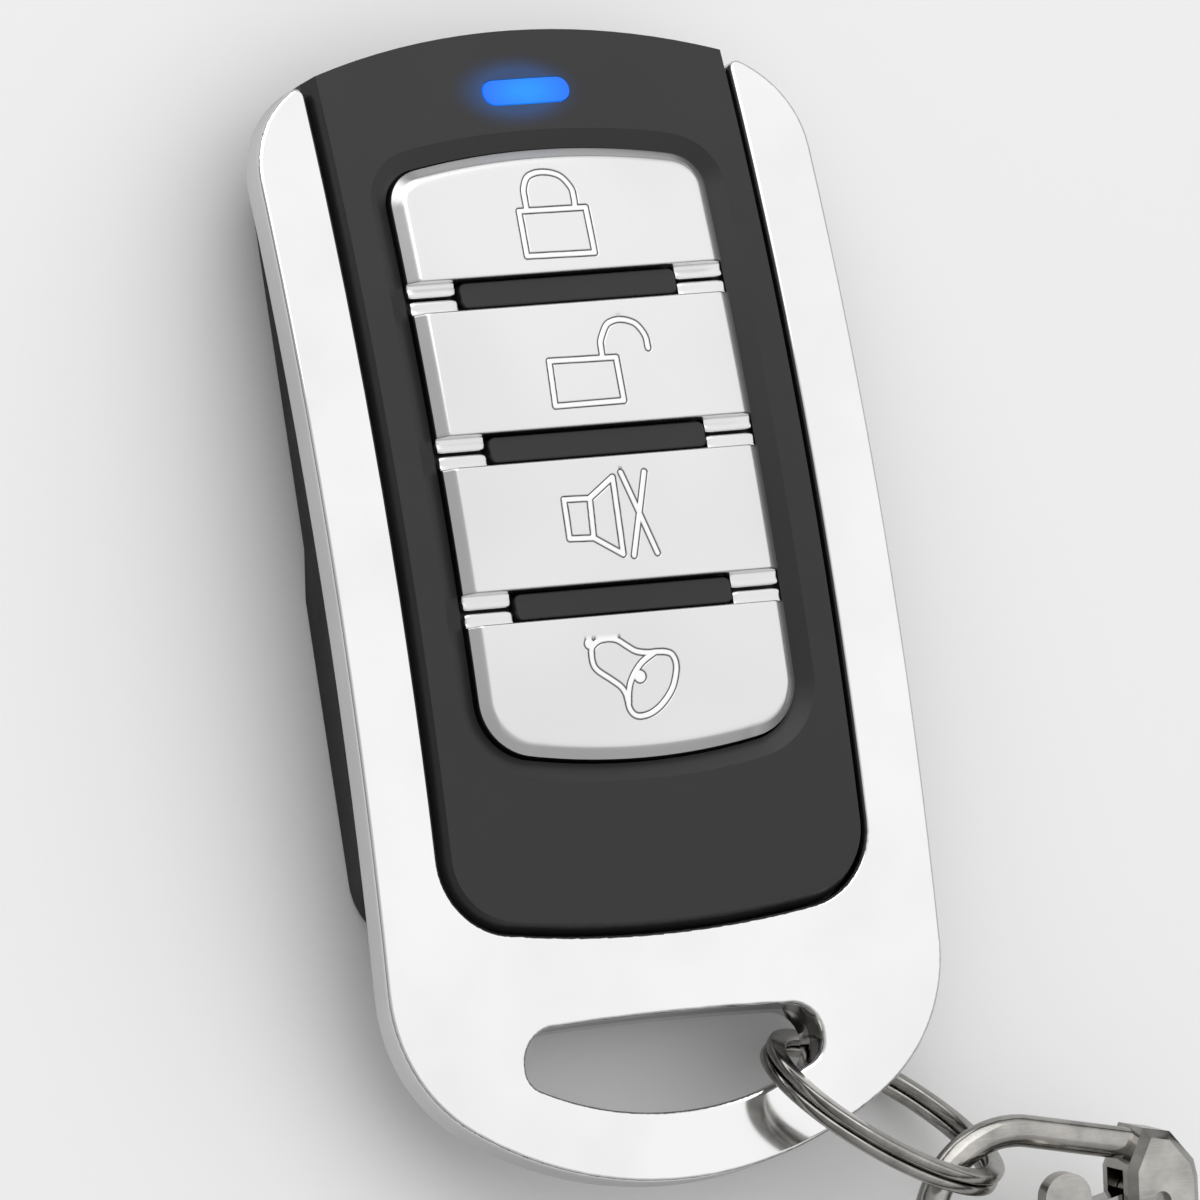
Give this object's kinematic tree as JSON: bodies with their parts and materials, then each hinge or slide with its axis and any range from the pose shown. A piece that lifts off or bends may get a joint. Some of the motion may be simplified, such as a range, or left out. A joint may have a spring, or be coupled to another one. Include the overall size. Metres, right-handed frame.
{
  "type": "garage door remote",
  "caption": "Key-fob remote with an arched metal frame, black shell, signal light, press keys, split ring and swivel snap hook.",
  "frame": {"origin": "middle of the flat on the back's hump, under the middle of the case", "axes": "+Z out of the keys, +Y towards the signal light, +X to the right seen from the front"},
  "size_m": [0.0445, 0.0874, 0.0128],
  "materials": {
    "chrome": "polished chrome plating",
    "satin_chrome": "satin chrome plating",
    "black_shell": "fine satin, black",
    "rear_shell": "fine matt, black",
    "screw": "zinc plated",
    "cell_steel": "bright steel",
    "gasket": "nylon",
    "contact": "nickel plated spring brass",
    "board": "solder mask, glass-fibre board",
    "chip": "moulded epoxy",
    "can": "tinned can",
    "antenna": "bare copper",
    "component": "ceramic",
    "led": "clear epoxy",
    "lens": "translucent blue",
    "mat": "silicone, grey",
    "switch": "moulded, black",
    "plunger": "moulded, red",
    "ring_wire": "nickel plated spring wire",
    "hook_metal": "gunmetal plated zinc",
    "pin_steel": "plain steel"
  },
  "bodies": {
    "housing": {"chrome_frame": "chrome", "front_shell": "black_shell", "rear_shell": "rear_shell", "case_screws": "screw", "cell_can": "cell_steel", "cell_gasket": "gasket", "cell_cap": "cell_steel", "negative_contact": "contact", "positive_clip": "contact", "circuit_board": "board", "radio_chip": "chip", "resonator_can": "can", "antenna_loop": "antenna", "board_components": "component", "status_led": "led", "led_lens": "lens", "keypad_mat": "mat", "lock_switch": "switch", "unlock_switch": "switch", "mute_switch": "switch", "bell_switch": "switch"},
    "lock_button": {"lock_key": "satin_chrome", "lock_plunger": "plunger"},
    "unlock_button": {"unlock_key": "satin_chrome", "unlock_plunger": "plunger"},
    "mute_button": {"mute_key": "satin_chrome", "mute_plunger": "plunger"},
    "bell_button": {"bell_key": "satin_chrome", "bell_plunger": "plunger"},
    "ring": {"split_ring": "ring_wire"},
    "hook": {"snap_hook": "hook_metal", "gate_pin": "pin_steel", "gate_spring": "pin_steel"},
    "gate": {"hook_gate": "hook_metal"},
    "swivel": {"swivel_eye": "hook_metal"}
  },
  "joints": [
    {"name": "lock_press", "type": "slide", "parent": "housing", "child": "lock_button", "axis": [0, 0, -1], "range_m": [0, 0.00025], "stiffness_N_per_m": 3000, "deforming": ["keypad_mat"]},
    {"name": "unlock_press", "type": "slide", "parent": "housing", "child": "unlock_button", "axis": [0, 0, -1], "range_m": [0, 0.00025], "stiffness_N_per_m": 3000, "deforming": ["keypad_mat"]},
    {"name": "mute_press", "type": "slide", "parent": "housing", "child": "mute_button", "axis": [0, 0, -1], "range_m": [0, 0.00025], "stiffness_N_per_m": 3000, "deforming": ["keypad_mat"]},
    {"name": "bell_press", "type": "slide", "parent": "housing", "child": "bell_button", "axis": [0, 0, -1], "range_m": [0, 0.00025], "stiffness_N_per_m": 3000, "deforming": ["keypad_mat"]},
    {"name": "ring_turn", "type": "hinge", "parent": "housing", "child": "ring", "pos_m": [0.0116, -0.02872, 0.0064], "axis": [-0.4285, -0.7153, -0.552], "range_deg": [0, 60]},
    {"name": "hook_swing", "type": "hinge", "parent": "ring", "child": "hook", "pos_m": [0.01658, -0.03289, 0.00793], "axis": [-0.5087, -0.3139, 0.8017], "range_deg": [0, 30]},
    {"name": "gate_open", "type": "hinge", "parent": "hook", "child": "gate", "pos_m": [0.02608, -0.03481, 0.00659], "axis": [0, -0.2647, 0.9643], "range_deg": [-12, 0], "stiffness_Nm_per_rad": 0.02, "springref_deg": 5.73, "deforming": ["gate_spring"]},
    {"name": "swivel_turn", "type": "hinge", "parent": "hook", "child": "swivel", "pos_m": [0.0203, -0.04571, 0.0036], "axis": [0, 0.9643, 0.2647], "continuous": true}
  ]
}
